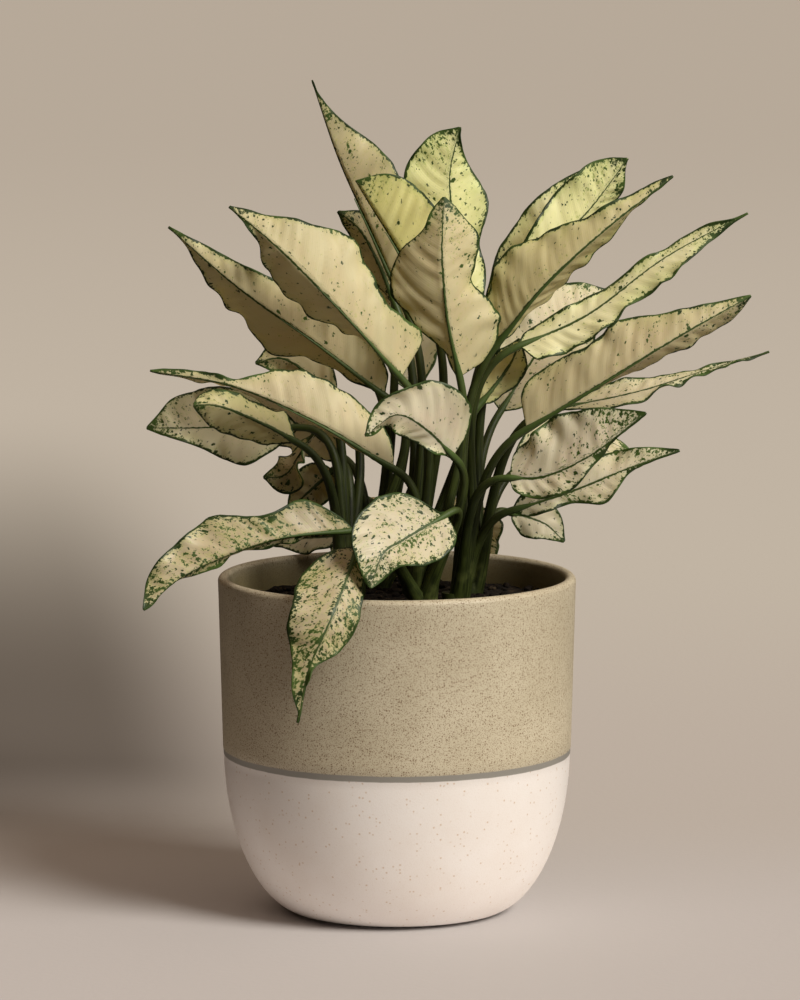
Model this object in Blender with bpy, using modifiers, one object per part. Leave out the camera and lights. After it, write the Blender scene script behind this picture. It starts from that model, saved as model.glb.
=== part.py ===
# A potted aglaonema: a two-tone pot filled with soil, six leafy shoots and their blades.
# Metres, +Z up. The origin is at the middle of the pot's flat underside; the front looks along -Y.
# The tables of shoots and blades are in millimetres, chosen by hand leaf by leaf.

import math

import bmesh
import bpy
from mathutils import Matrix, Vector

MM = 0.001

# Pot
POT_HEIGHT = 0.199
RIM_RADIUS = 0.105
BAND_Z = 0.0955
BAND_WIDTH = 0.0036
BAND_RADIUS = 0.1023
STEP_IN = 0.0005
FOOT_RADIUS = 0.050
FOOT_ROUND = 0.006
BOWL_POWER = 1.95
WALL = 0.0065
WALL_DROP = 0.35 * WALL
INSIDE_HEIGHTS = (0.179, BAND_Z, 0.06, 0.034)
LEAST_INSIDE = 0.02
FLOOR_THICKNESS = 0.012
LIP_STEPS = 5
BOWL_STEPS = 9
POT_SIDES = 48

# Soil
SOIL_TOP = 0.182
SOIL_MOUND = 0.003
MOUND_REACH = 0.6
MOUND_SHARE = 0.7
GAP = 0.0003
SOIL_GAP = 2.5 * GAP
SOIL_SIDES = 36

# Shoots
CANE_RADIUS = 0.007
CANE_DEPTH = 0.030
CANE_ABOVE = 0.010
CANE_SIDES = 14
HOLE_SIDES = 16
HOLE_ABOVE = 0.07
STALK_FOOT_RADIUS = 0.0040
STALK_TOP_RADIUS = 0.0022
STALK_POINTS = 6
STALK_NECK = 0.003
STALK_SLIM = 0.7
STALK_UPRIGHT = 0.25
STALK_RISE = 0.36
STALK_REACH = 0.32
ROOT_LEAN = 0.12
ROOT_SPREAD = 0.45 * CANE_RADIUS
ROOT_HEIGHT = 0.45 * CANE_ABOVE
SHOOTS = {
    "shoot_left": (-27, 2),
    "shoot_front": (15, -34),
    "shoot_right": (33, -24),
    "shoot_middle": (10, 12),
    "shoot_far_right": (42, 18),
    "shoot_back": (-12, 48),
}

# Blades
BLADE_THICKNESS = 0.0009
BLADE_ROWS = 13
BLADE_COLUMNS = 4
BASE_HALF = 0.0022
TIP_HALF = 0.0009
OUTLINE_AT = (0.0, 0.04, 0.17, 0.33, 0.5, 0.67, 0.83, 0.94, 1.0)
OVATE = (0.42, 0.74, 0.97, 1.0, 0.84, 0.5, 0.2)
UNFOLDED_AT = 0.5
LEFT_WAVE_SHIFT = 0.3

# For each blade: the shoot that carries it, four points along its rib from base to tip, the way
# its right and left half reach out (as seen on the upper face, tip up), how far each half curls
# up in degrees, and the height, number and phase of the waves in its margin. A plain blade is as
# wide as these two arrows are long; the others give the widths of both halves at the inner
# places of OUTLINE_AT. A few are folded up at the base by an angle for each half.
LEAVES = {
    "leaf_01": dict(
        shoot="shoot_middle", rib=[(3, 26, 358), (-14, 32, 396), (-34, 38, 440), (-50, 42, 486)],
        right=(4, 20, 2), left=(24, -8, 12), curl=(20, 25), wave=(2.5, 2.5, 0.1),
        widths=((4, 8, 10, 9, 7, 4, 2), (8, 20, 27, 28.5, 22.5, 8, 1.5))),
    "leaf_02": dict(
        shoot="shoot_middle", rib=[(16, -4, 360), (2, 0, 388), (-13, 4, 412), (-24, 2, 430)],
        right=(10, 20, 2), left=(28, -6, 14), curl=(20, 15), wave=(1.5, 2, 0.6),
        widths=((3, 8, 12, 14, 13, 9, 4), (10, 24, 30, 31, 28, 22, 14))),
    "leaf_03": dict(
        shoot="shoot_middle", rib=[(46, 28, 352), (36, 32, 390), (31, 36, 428), (37, 36, 459)],
        right=(19, 6, 0), left=(-34, 4, 0), curl=(10, 10), wave=(3, 2, 0.3),
        widths=((6, 12.5, 13.5, 22, 17, 7, 1.5), (8, 16, 22, 24, 27, 20, 12))),
    "leaf_04": dict(
        shoot="shoot_middle", rib=[(-2, 46, 356), (-11, 50, 378), (-22, 55, 397), (-35, 52, 408)],
        right=(-8, 4, -6), left=(11, 4, 9), curl=(20, 20), wave=(2, 2, 0.2)),
    "leaf_05": dict(
        shoot="shoot_front", rib=[(36, -44, 321), (29, -50, 355), (26, -50, 391), (27, -42, 424)],
        right=(-29, 12, 0), left=(27, 8, 0), curl=(15, 20), wave=(2, 1.5, 0.2),
        widths=((4, 9, 22.5, 34, 32, 12, 6), (18, 29, 31, 21, 22, 21, 9))),
    "leaf_06": dict(
        shoot="shoot_front", rib=[(2, -52, 321), (-26, -62, 354), (-65, -62, 394), (-96, -50, 419)],
        right=(-13, 12, -15), left=(24, 8, 23), curl=(15, 20), wave=(2, 2, 0.1),
        widths=((8, 14, 14, 24, 20, 3.5, 1), (26, 25.5, 24, 36, 23, 11.5, 5)), fold=(75, 0)),
    "leaf_07": dict(
        shoot="shoot_left", rib=[(-8, -8, 306), (-46, -12, 336), (-90, -8, 367), (-133, 2, 403)],
        right=(-4, 10, -15), left=(14, -4, 24), curl=(20, 15), wave=(2.5, 3, 0.4),
        widths=((2, 8, 18, 29, 21, 9, 2), (12, 20, 24, 20, 14, 8, 3))),
    "leaf_08": dict(
        shoot="shoot_left", rib=[(-38, 40, 300), (-52, 46, 312), (-68, 50, 321), (-84, 52, 318)],
        right=(-3, 4, -14), left=(3, 4, 14), curl=(10, 10), wave=(1, 2, 0.2)),
    "leaf_09": dict(
        shoot="shoot_front", rib=[(-3, -46, 268), (-45, -56, 295), (-93, -56, 316), (-142, -46, 324)],
        right=(-4, 20, -8), left=(10, 2, 24), curl=(20, 35), wave=(1.5, 2.5, 0.5),
        widths=((6, 12, 15, 14, 12, 7, 3), (12, 23, 25, 22.5, 5, 4.5, 3))),
    "leaf_10": dict(
        shoot="shoot_left", rib=[(-59, 15, 284), (-89, 22, 284), (-119, 30, 282), (-148, 36, 281)],
        right=(2, 6, 23), left=(0, -4, -20), curl=(10, 10), wave=(2, 2, 0.3),
        widths=((6, 15, 22, 24, 22.5, 17.5, 6.5), (6, 15.5, 23, 17.5, 11, 6, 2.5))),
    "leaf_11": dict(
        shoot="shoot_left", rib=[(-60, -16, 280), (-77, -20, 290), (-102, -26, 301), (-118, -26, 302)],
        right=(-3, 4, -14), left=(5, 8, 14), curl=(20, 20), wave=(1, 2, 0.1),
        widths=((4, 10, 14, 15.5, 15, 12, 6), (5, 13, 13, 11.5, 10, 10, 7))),
    "leaf_12": dict(
        shoot="shoot_left", rib=[(-46, 22, 282), (-55, 26, 268), (-66, 30, 254), (-79, 34, 252)],
        right=(-8, 2, -12), left=(8, 2, 14), curl=(10, 10), wave=(1, 2, 0.2)),
    "leaf_13": dict(
        shoot="shoot_left", rib=[(-38, 34, 256), (-46, 42, 248), (-56, 50, 238), (-65, 56, 228)],
        right=(8, 2, -9), left=(-9, 2, 10), curl=(10, 10), wave=(1, 2, 0.4)),
    "leaf_14": dict(
        shoot="shoot_left", rib=[(-26, -44, 231), (-73, -60, 227), (-120, -72, 210), (-145, -80, 190)],
        right=(3, 10, 18), left=(-2, 8, -5), curl=(10, 10), wave=(2, 3, 0.2),
        widths=((9, 20.5, 15.5, 25, 18, 13, 6), (3, 5, 6, 6, 5, 3, 1.5))),
    "leaf_15": dict(
        shoot="shoot_back", rib=[(-28, 60, 214), (-44, 72, 211), (-62, 84, 208), (-80, 92, 205)],
        right=(3, 6, 10), left=(-3, -6, -8), curl=(10, 10), wave=(1, 2, 0.4)),
    "leaf_16": dict(
        shoot="shoot_front", rib=[(-22, -92, 228), (-36, -124, 195), (-49.5, -130, 164), (-56, -128, 133)],
        right=(-22, 6, 2), left=(13, 8, -6), curl=(10, 10), wave=(2.5, 2.5, 0.3),
        widths=((13, 25.5, 25, 20.5, 10.5, 6, 1), (8, 12, 16, 15, 1.5, 1.5, 1))),
    "leaf_17": dict(
        shoot="shoot_front", rib=[(28, -72, 244), (4, -94, 233), (-8, -106, 226), (-15, -114, 208)],
        right=(-12, 8, 25), left=(16, -4, -14), curl=(15, 15), wave=(1.5, 1.5, 0.1),
        widths=((4, 22, 28, 27, 24, 12, 5), (14, 21, 20.5, 18, 14, 8, 3.5))),
    "leaf_18": dict(
        shoot="shoot_front", rib=[(32, -64, 277), (17, -80, 294), (0, -92, 304), (-18, -100, 293)],
        right=(19, 8, 21), left=(-8, 4, -8), curl=(15, 20), wave=(2.5, 2.5, 0.6),
        widths=((14, 26, 29, 25, 17, 9, 5), (3, 8, 11, 12, 11, 8, 4))),
    "leaf_19": dict(
        shoot="shoot_right", rib=[(60, -34, 341), (85, -42, 373), (121, -40, 406), (159, -30, 435)],
        right=(-17, 8, 25), left=(8, 18, -8), curl=(20, 15), wave=(1.5, 2, 0.4),
        widths=((16, 27, 31, 21.5, 12, 7, 4), (6, 13, 25, 16, 13, 3, 1))),
    "leaf_20": dict(
        shoot="shoot_far_right", rib=[(70, 30, 352), (94, 36, 388), (116, 42, 413), (136, 44, 440)],
        right=(10, 16, -8), left=(-16, -2, 15), curl=(10, 10), wave=(2.5, 2.5, 0.1),
        widths=((5, 13, 19, 20, 18, 12, 5), (8, 16, 21, 22, 22, 18, 9))),
    "leaf_21": dict(
        shoot="shoot_far_right", rib=[(72, 0, 334), (112, 4, 352), (156, 10, 384), (205, 16, 410)],
        right=(4, -8, -13), left=(-5, 10, 8), curl=(20, 20), wave=(3, 3, 0.2),
        widths=((14, 15, 17, 11.5, 14.5, 4.5, 1.5), (7, 10.5, 11, 8, 6, 6.5, 1))),
    "leaf_22": dict(
        shoot="shoot_right", rib=[(75, -52, 291), (120, -62, 320), (162, -62, 346), (203, -52, 368)],
        right=(-9, 6, 19), left=(4, 12, -14), curl=(15, 15), wave=(1.5, 2, 0.3),
        widths=((20, 27, 24, 27, 16.5, 8.5, 4), (8, 15, 18, 16, 13, 16, 9)), fold=(0, 55), unfold=0.75),
    "leaf_23": dict(
        shoot="shoot_far_right", rib=[(95, -5, 298), (140, -2, 307), (178, 5, 318), (218, 12, 329)],
        right=(1, -12, -6), left=(-2, 14, 5), curl=(15, 15), wave=(1.5, 2.5, 0.2),
        widths=((6, 12, 11, 5, 3, 3, 1), (6, 13, 13, 10, 4, 3, 1))),
    "leaf_24": dict(
        shoot="shoot_right", rib=[(65, -62, 264), (85, -70, 266), (112, -78, 280), (142, -82, 304)],
        right=(4, -4, -13), left=(-12, 10, 28), curl=(10, 15), wave=(2.5, 2.5, 0.1),
        widths=((7, 10.5, 12.5, 13, 3.5, 1, 1), (14, 22, 26, 29, 28, 20, 8))),
    "leaf_25": dict(
        shoot="shoot_right", rib=[(68, -35, 242), (100, -40, 253), (133, -44, 267), (163, -46, 278)],
        right=(4, -4, -13), left=(-4, 8, 14), curl=(10, 10), wave=(2.5, 3, 0.6),
        widths=((5, 8, 6, 15, 3, 1, 1), (6, 13, 16, 14, 12, 8, 3.5))),
    "leaf_26": dict(
        shoot="shoot_far_right", rib=[(68, 24, 232), (78, 26, 229), (89, 28, 224), (99, 30, 214)],
        right=(-4, 0, -11), left=(5, 2, 12), curl=(10, 10), wave=(1, 2, 0.2)),
    "leaf_27": dict(
        shoot="shoot_far_right", rib=[(50, 10, 300), (60, 14, 312), (68, 18, 324), (72, 20, 336)],
        right=(-10, 4, 6), left=(8, 4, -6), curl=(10, 10), wave=(1, 2, 0.3)),
    "leaf_28": dict(
        shoot="shoot_back", rib=[(-16, 58, 310), (-36, 76, 342), (-58, 92, 362), (-76, 104, 370)],
        right=(14, 10, 16), left=(-14, -10, -14), curl=(15, 15), wave=(2, 2.5, 0.3)),
    "leaf_29": dict(
        shoot="shoot_back", rib=[(8, 66, 300), (8, 92, 338), (8, 118, 368), (8, 142, 384)],
        right=(24, -4, 4), left=(-24, -4, 4), curl=(15, 15), wave=(2, 2.5, 0.1)),
    "leaf_30": dict(
        shoot="shoot_far_right", rib=[(62, 52, 290), (84, 74, 322), (106, 94, 346), (128, 108, 356)],
        right=(16, -14, -14), left=(-14, 14, 16), curl=(15, 15), wave=(2, 2.5, 0.6)),
    "leaf_31": dict(
        shoot="shoot_back", rib=[(-34, 62, 262), (-60, 84, 278), (-86, 104, 282), (-108, 118, 276)],
        right=(12, -14, 12), left=(-10, 14, -10), curl=(10, 10), wave=(2, 3, 0.2)),
    "leaf_32": dict(
        shoot="shoot_back", rib=[(16, 78, 262), (22, 108, 282), (26, 138, 284), (28, 166, 270)],
        right=(22, -4, -2), left=(-22, 2, 4), curl=(10, 10), wave=(2, 2.5, 0.4)),
    "leaf_33": dict(
        shoot="shoot_far_right", rib=[(74, 50, 256), (98, 70, 268), (122, 88, 268), (142, 100, 258)],
        right=(10, -16, -10), left=(-10, 16, 12), curl=(10, 10), wave=(2, 2.5, 0.5)),
    "leaf_34": dict(
        shoot="shoot_back", rib=[(-2, 54, 340), (-4, 66, 374), (-8, 78, 400), (-14, 88, 420)],
        right=(20, 6, 6), left=(-16, 6, -4), curl=(15, 15), wave=(2, 2, 0.3)),
    "leaf_35": dict(
        shoot="shoot_far_right", rib=[(56, 50, 334), (74, 62, 370), (96, 74, 406), (122, 82, 436)],
        right=(14, 6, -8), left=(-16, 6, 7), curl=(15, 15), wave=(2, 2, 0.5)),
    "leaf_36": dict(
        shoot="shoot_back", rib=[(38, 78, 228), (46, 104, 226), (52, 124, 208), (56, 136, 178)],
        right=(-14, 8, 4), left=(14, -8, -2), curl=(10, 10), wave=(2, 2.5, 0.2)),
    "leaf_37": dict(
        shoot="shoot_back", rib=[(-14, 84, 230), (-22, 114, 228), (-28, 136, 206), (-34, 146, 172)],
        right=(-18, -4, -4), left=(18, 2, 0), curl=(10, 10), wave=(2, 2.5, 0.6)),
}


# Clearing and materials

def clear_scene():
    for item in list(bpy.data.objects):
        bpy.data.objects.remove(item, do_unlink=True)


def material(name, colour, roughness, metallic=0.0):
    mat = bpy.data.materials.new(name)
    mat.use_nodes = True
    shader = mat.node_tree.nodes["Principled BSDF"]
    shader.inputs["Base Color"].default_value = (*colour, 1.0)
    shader.inputs["Roughness"].default_value = roughness
    shader.inputs["Metallic"].default_value = metallic
    mat.diffuse_color = (*colour, 1.0)
    return mat


def collection(name):
    new = bpy.data.collections.new(name)
    bpy.context.scene.collection.children.link(new)
    return new


def mesh_object(name, mesh, home, mat=None):
    obj = bpy.data.objects.new(name, mesh)
    home.objects.link(obj)
    if mat:
        mesh.materials.append(mat)
    return obj


def mesh_from(name, bm):
    mesh = bpy.data.meshes.new(name)
    bm.to_mesh(mesh)
    bm.free()
    return mesh


# Pot and soil

def outer_radius(z):
    """Outer radius of the pot at a height, from the foot's top up."""
    if z >= BAND_Z:
        share = (z - BAND_Z) / (POT_HEIGHT - BAND_Z)
        return BAND_RADIUS + (RIM_RADIUS - BAND_RADIUS) * share
    drop = (BAND_Z - z) / BAND_Z
    foot = FOOT_RADIUS + FOOT_ROUND
    top = BAND_RADIUS - STEP_IN
    return foot + (top - foot) * (1 - drop ** BOWL_POWER) ** (1 / BOWL_POWER)


def inner_radius(z):
    """Inner radius of the pot, one wall inside the outer one."""
    return max(outer_radius(max(z - WALL_DROP, WALL_DROP)) - WALL, LEAST_INSIDE)


def turned(name, profile, steps, home, mat):
    """A profile of (radius, height) pairs, top to bottom, turned about Z."""
    bm = bmesh.new()
    points = [bm.verts.new((r, 0.0, z)) for r, z in profile]
    for a, b in zip(points, points[1:]):
        bm.edges.new((a, b))
    obj = mesh_object(name, mesh_from(name, bm), home, mat)
    screw = obj.modifiers.new("turn", "SCREW")
    screw.axis = "Z"
    screw.steps = screw.render_steps = steps
    screw.use_merge_vertices = True
    screw.merge_threshold = 0.00001
    screw.use_smooth_shade = True
    return obj


def pot_profile():
    lip = WALL / 2
    top = [
        (RIM_RADIUS - lip + lip * math.cos(a), POT_HEIGHT - lip + lip * math.sin(a))
        for a in (math.pi * i / LIP_STEPS for i in range(LIP_STEPS, -1, -1))
    ]
    inside = [(inner_radius(z), z) for z in (FLOOR_THICKNESS, *reversed(INSIDE_HEIGHTS))]
    band_top, band_low = BAND_Z + BAND_WIDTH / 2, BAND_Z - BAND_WIDTH / 2
    band = [(outer_radius(band_top), band_top), (BAND_RADIUS - STEP_IN, band_low)]
    bowl_heights = [band_low * (1 - math.sin(math.pi / 2 * i / BOWL_STEPS)) for i in range(1, BOWL_STEPS)]
    bowl = [(outer_radius(z), z) for z in bowl_heights if z > FOOT_ROUND * 0.3]
    foot = [(FOOT_RADIUS, 0.0), (0.0, 0.0)]
    return [(0.0, FLOOR_THICKNESS)] + inside + top + band + bowl + foot


def make_pot(home):
    return turned("pot", pot_profile(), POT_SIDES, home, material("pot_glaze", (0.42, 0.37, 0.26), 0.55))


def soil_profile():
    heights = (SOIL_TOP, *INSIDE_HEIGHTS[1:], FLOOR_THICKNESS + GAP)
    side = [(inner_radius(z) - SOIL_GAP, z) for z in heights]
    crown = [(0.0, SOIL_TOP + SOIL_MOUND), (side[0][0] * MOUND_REACH, SOIL_TOP + SOIL_MOUND * MOUND_SHARE)]
    return crown + side + [(0.0, FLOOR_THICKNESS + GAP)]


def make_soil(home, cutters):
    dark = material("soil_dark", (0.035, 0.024, 0.016), 0.95)
    soil = turned("soil", soil_profile(), SOIL_SIDES, home, dark)
    for name, (x, y) in SHOOTS.items():
        bm = bmesh.new()
        depth = CANE_DEPTH + GAP + HOLE_ABOVE
        middle = Matrix.Translation((x * MM, y * MM, SOIL_TOP + HOLE_ABOVE - depth / 2))
        bmesh.ops.create_cone(
            bm, cap_ends=True, segments=HOLE_SIDES, radius1=CANE_RADIUS + 2 * GAP,
            radius2=CANE_RADIUS + 2 * GAP, depth=depth, matrix=middle)
        hole = mesh_object("hole_" + name, mesh_from("hole_" + name, bm), cutters)
        hole.hide_render = True
        hole.display_type = "WIRE"
        cut = soil.modifiers.new("hole_" + name, "BOOLEAN")
        cut.operation = "DIFFERENCE"
        cut.solver = "EXACT"
        cut.object = hole
    return soil


# Blades

def rib_point(rib, s):
    """A point on the smooth curve through the four rib points, with s from 0 at the base to 1 at the tip."""
    points = [Vector(p) * MM for p in rib]
    points = [2 * points[0] - points[1]] + points + [2 * points[-1] - points[-2]]
    span = min(int(s * 3), 2)
    t = s * 3 - span
    a, b, c, d = points[span:span + 4]
    bend, swing = 2 * a - 5 * b + 4 * c - d, 3 * b - a - 3 * c + d
    return (2 * b + (c - a) * t + bend * t ** 2 + swing * t ** 3) / 2


def rib_direction(rib, s):
    step = 0.01
    return (rib_point(rib, min(s + step, 1.0)) - rib_point(rib, max(s - step, 0.0))).normalized()


def half_width(leaf, side, s):
    """Half the blade's width at s: a smooth line through the widths of that half."""
    reach = Vector((leaf["right"], leaf["left"])[side]).length
    inner = leaf["widths"][side] if "widths" in leaf else [share * reach for share in OVATE]
    widths = [BASE_HALF, *(width * MM for width in inner), TIP_HALF]
    last = len(OUTLINE_AT) - 1
    i = max(k for k in range(last) if OUTLINE_AT[k] <= max(s, 0.0))

    def slope(k):
        before, after = max(k - 1, 0), min(k + 1, last)
        return (widths[after] - widths[before]) / (OUTLINE_AT[after] - OUTLINE_AT[before])

    length = OUTLINE_AT[i + 1] - OUTLINE_AT[i]
    t = (s - OUTLINE_AT[i]) / length
    rounding = length * t * (1 - t) * (slope(i) * (1 - t) - slope(i + 1) * t)
    width = widths[i] + (widths[i + 1] - widths[i]) * t * t * (3 - 2 * t) + rounding
    return max(width, BASE_HALF + (TIP_HALF - BASE_HALF) * s)


def fold_angle(leaf, side, s):
    """How far a half is folded toward the upper face at s: most at the base, none further out."""
    share = max(1 - s / leaf.get("unfold", UNFOLDED_AT), 0.0)
    return math.radians(leaf.get("fold", (0, 0))[side]) * share * share * (3 - 2 * share)


def blade_point(leaf, s, across):
    """A point of the blade, with across from -1 at the left margin to 1 at the right margin."""
    along = rib_direction(leaf["rib"], s)
    side = 0 if across >= 0 else 1
    reach = Vector((leaf["right"], leaf["left"])[side])
    flat = (reach - along * reach.dot(along)).normalized()
    raised = flat.cross(along) if side == 0 else along.cross(flat)
    fold = fold_angle(leaf, side, s)
    out = flat * math.cos(fold) + raised * math.sin(fold)
    up = raised * math.cos(fold) - flat * math.sin(fold)
    share = abs(across)
    curl = math.radians(leaf["curl"][side])
    bend = curl * share
    offset = (out * math.sin(bend) + up * (1 - math.cos(bend))) * half_width(leaf, side, s) / curl
    height, count, phase = leaf["wave"]
    wave = height * MM * share ** 2 * math.sin(2 * math.pi * (count * s + phase + LEFT_WAVE_SHIFT * side))
    wave *= math.sin(math.pi * min(max(s, 0.0), 1.0)) ** 0.5
    return rib_point(leaf["rib"], s) + offset + (up * math.cos(bend) - out * math.sin(bend)) * wave


def make_blade(name, leaf, home, mat):
    bm = bmesh.new()
    bmesh.ops.create_grid(bm, x_segments=BLADE_COLUMNS, y_segments=BLADE_ROWS, size=1.0)
    for v in bm.verts:
        u = (v.co.y + 1) / 2
        s = (u + (1 - math.cos(math.pi * u)) / 2) / 2
        v.co = blade_point(leaf, s, v.co.x)
    bmesh.ops.triangulate(bm, faces=bm.faces)
    bmesh.ops.recalc_face_normals(bm, faces=bm.faces)
    obj = mesh_object(name, mesh_from(name, bm), home, mat)
    obj.data.shade_smooth()
    solid = obj.modifiers.new("thickness", "SOLIDIFY")
    solid.thickness = BLADE_THICKNESS
    solid.offset = 0.0
    return obj


# Shoots

def stalk_path(root, leaf):
    """The leaf stalk's path, from the cane's top to just short of the blade's base."""
    end_direction = rib_direction(leaf["rib"], 0.0)
    end = rib_point(leaf["rib"], 0.0) - end_direction * (2 * GAP)
    neck = end - end_direction * STALK_NECK
    start = Vector((root.x, root.y, SOIL_TOP + ROOT_HEIGHT))
    lean = (end - start) * ROOT_LEAN
    lean.z = 0.0
    start += lean.normalized() * min(lean.length, ROOT_SPREAD)
    length = (neck - start).length
    straight = (neck - start) / length
    rising = (Vector((0, 0, 1)) * STALK_UPRIGHT + straight * (1 - STALK_UPRIGHT)).normalized()
    first = start + rising * length * STALK_RISE
    second = neck - end_direction * length * STALK_REACH
    path = []
    for i in range(STALK_POINTS):
        t = i / (STALK_POINTS - 1)
        path.append(
            start * (1 - t) ** 3 + first * 3 * t * (1 - t) ** 2
            + second * 3 * t ** 2 * (1 - t) + neck * t ** 3)
    return path + [end]


def stalk_mesh(name, path):
    """A tapering tube along a path, as a mesh with its caps welded on."""
    curve = bpy.data.curves.new(name, "CURVE")
    curve.dimensions = "3D"
    curve.bevel_depth = 1.0
    curve.bevel_resolution = 1
    curve.use_fill_caps = True
    spline = curve.splines.new("POLY")
    spline.points.add(len(path) - 1)
    for i, (point, place) in enumerate(zip(spline.points, path)):
        share = i / (len(path) - 1)
        point.co = (*place, 1.0)
        point.radius = STALK_FOOT_RADIUS + (STALK_TOP_RADIUS - STALK_FOOT_RADIUS) * share ** STALK_SLIM
    guide = bpy.data.objects.new(name, curve)
    bpy.context.scene.collection.objects.link(guide)
    bpy.context.view_layer.update()
    graph = bpy.context.evaluated_depsgraph_get()
    mesh = bpy.data.meshes.new_from_object(guide.evaluated_get(graph))
    bpy.data.objects.remove(guide, do_unlink=True)
    bm = bmesh.new()
    bm.from_mesh(mesh)
    bmesh.ops.remove_doubles(bm, verts=bm.verts, dist=0.00001)
    bmesh.ops.recalc_face_normals(bm, faces=bm.faces)
    bm.to_mesh(mesh)
    bm.free()
    return mesh


def cane_mesh(name, x, y):
    bm = bmesh.new()
    depth = CANE_DEPTH + CANE_ABOVE
    middle = Matrix.Translation((x, y, SOIL_TOP - CANE_DEPTH + depth / 2))
    bmesh.ops.create_cone(
        bm, cap_ends=True, segments=CANE_SIDES, radius1=CANE_RADIUS, radius2=CANE_RADIUS,
        depth=depth, matrix=middle)
    return mesh_from(name, bm)


def make_shoot(name, place, home, mat):
    """The cane with its leaf stalks, joined into one solid."""
    x, y = place[0] * MM, place[1] * MM
    shoot = mesh_object(name, cane_mesh(name, x, y), home, mat)
    pieces = bpy.data.collections.new(name + "_stalks")
    bpy.context.scene.collection.children.link(pieces)
    for leaf_name, leaf in LEAVES.items():
        if leaf["shoot"] == name:
            path = stalk_path(Vector((x, y, 0.0)), leaf)
            mesh_object("stalk_" + leaf_name, stalk_mesh("stalk_" + leaf_name, path), pieces)
    union = shoot.modifiers.new("join", "BOOLEAN")
    union.operation = "UNION"
    union.solver = "EXACT"
    union.operand_type = "COLLECTION"
    union.collection = pieces
    bpy.context.view_layer.update()
    graph = bpy.context.evaluated_depsgraph_get()
    joined = bpy.data.meshes.new_from_object(shoot.evaluated_get(graph))
    shoot.modifiers.clear()
    shoot.data = joined
    joined.materials.clear()
    joined.materials.append(mat)
    for item in list(pieces.objects):
        bpy.data.objects.remove(item, do_unlink=True)
    bpy.data.collections.remove(pieces)
    joined.shade_smooth()
    return shoot


def main():
    clear_scene()
    home = collection("potted_aglaonema")
    cutters = collection("cutters")
    make_pot(home)
    make_soil(home, cutters)
    stalk_green = material("stalk_green", (0.03, 0.055, 0.018), 0.4)
    for name, place in SHOOTS.items():
        make_shoot(name, place, home, stalk_green)
    blade_cream = material("blade_cream", (0.62, 0.56, 0.38), 0.45)
    for name, leaf in LEAVES.items():
        make_blade(name, leaf, home, blade_cream)


main()
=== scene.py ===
# Potted aglaonema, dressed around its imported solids. Metres, Z up, the front looks along -Y.
import math
import random
import bpy
import bmesh
from mathutils import Vector, Matrix, noise


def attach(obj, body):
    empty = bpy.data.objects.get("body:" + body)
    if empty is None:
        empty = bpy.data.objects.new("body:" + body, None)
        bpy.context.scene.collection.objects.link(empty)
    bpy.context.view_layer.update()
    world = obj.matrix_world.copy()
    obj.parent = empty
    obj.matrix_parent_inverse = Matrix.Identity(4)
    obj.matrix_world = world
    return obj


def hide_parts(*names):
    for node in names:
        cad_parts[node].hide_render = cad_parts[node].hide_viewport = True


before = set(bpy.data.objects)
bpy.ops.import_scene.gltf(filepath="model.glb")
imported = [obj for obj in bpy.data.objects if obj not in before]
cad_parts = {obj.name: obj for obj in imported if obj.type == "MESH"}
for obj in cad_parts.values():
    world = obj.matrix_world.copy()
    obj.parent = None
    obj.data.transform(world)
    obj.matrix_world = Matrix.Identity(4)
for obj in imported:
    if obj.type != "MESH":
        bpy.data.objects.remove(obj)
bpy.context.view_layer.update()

mm = 0.001


# small helpers for meshes and node trees

def addMesh(name, build, materials, smooth=True):
    bm = bmesh.new()
    build(bm)
    mesh = bpy.data.meshes.new(name)
    bm.to_mesh(mesh)
    bm.free()
    for mat in materials:
        mesh.materials.append(mat)
    if smooth:
        mesh.shade_smooth()
    obj = bpy.data.objects.new(name, mesh)
    bpy.context.scene.collection.objects.link(obj)
    return obj


def addNode(tree, kind, **settings):
    node = tree.nodes.new(kind)
    for key, value in settings.items():
        setattr(node, key, value)
    return node


def plug(tree, socket, value):
    # a socket is linked, anything else is set as the value
    if isinstance(value, bpy.types.NodeSocket):
        tree.links.new(value, socket)
    elif isinstance(value, (tuple, list)) and len(value) == 3 and socket.type == "RGBA":
        socket.default_value = (*value, 1.0)
    else:
        socket.default_value = value


def mathNode(tree, operation, a, b=0.0, c=None, clamp=False):
    node = addNode(tree, "ShaderNodeMath", operation=operation, use_clamp=clamp)
    plug(tree, node.inputs[0], a)
    plug(tree, node.inputs[1], b)
    if c is not None:
        plug(tree, node.inputs[2], c)
    return node.outputs[0]


def fade(tree, value, low, high, start=0.0, end=1.0):
    # a smooth step from start at low to end at high
    node = addNode(tree, "ShaderNodeMapRange", interpolation_type="SMOOTHSTEP")
    for socket, item in zip(node.inputs[:5], (value, low, high, start, end)):
        plug(tree, socket, item)
    return node.outputs[0]


def mixColour(tree, factor, a, b, blend="MIX"):
    node = addNode(tree, "ShaderNodeMix", data_type="RGBA", blend_type=blend)
    plug(tree, node.inputs[0], factor)
    plug(tree, node.inputs[6], a)
    plug(tree, node.inputs[7], b)
    return node.outputs[2]


def noiseNode(tree, vector, scale, detail=2.0, rough=0.5, colour=False):
    node = addNode(tree, "ShaderNodeTexNoise")
    plug(tree, node.inputs["Vector"], vector)
    plug(tree, node.inputs["Scale"], scale)
    plug(tree, node.inputs["Detail"], detail)
    plug(tree, node.inputs["Roughness"], rough)
    return node.outputs["Color" if colour else "Fac"]


def attribute(tree, name):
    return addNode(tree, "ShaderNodeAttribute", attribute_name=name).outputs["Vector"]


def splitVector(tree, vector):
    node = addNode(tree, "ShaderNodeSeparateXYZ")
    plug(tree, node.inputs[0], vector)
    return node.outputs


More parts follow.
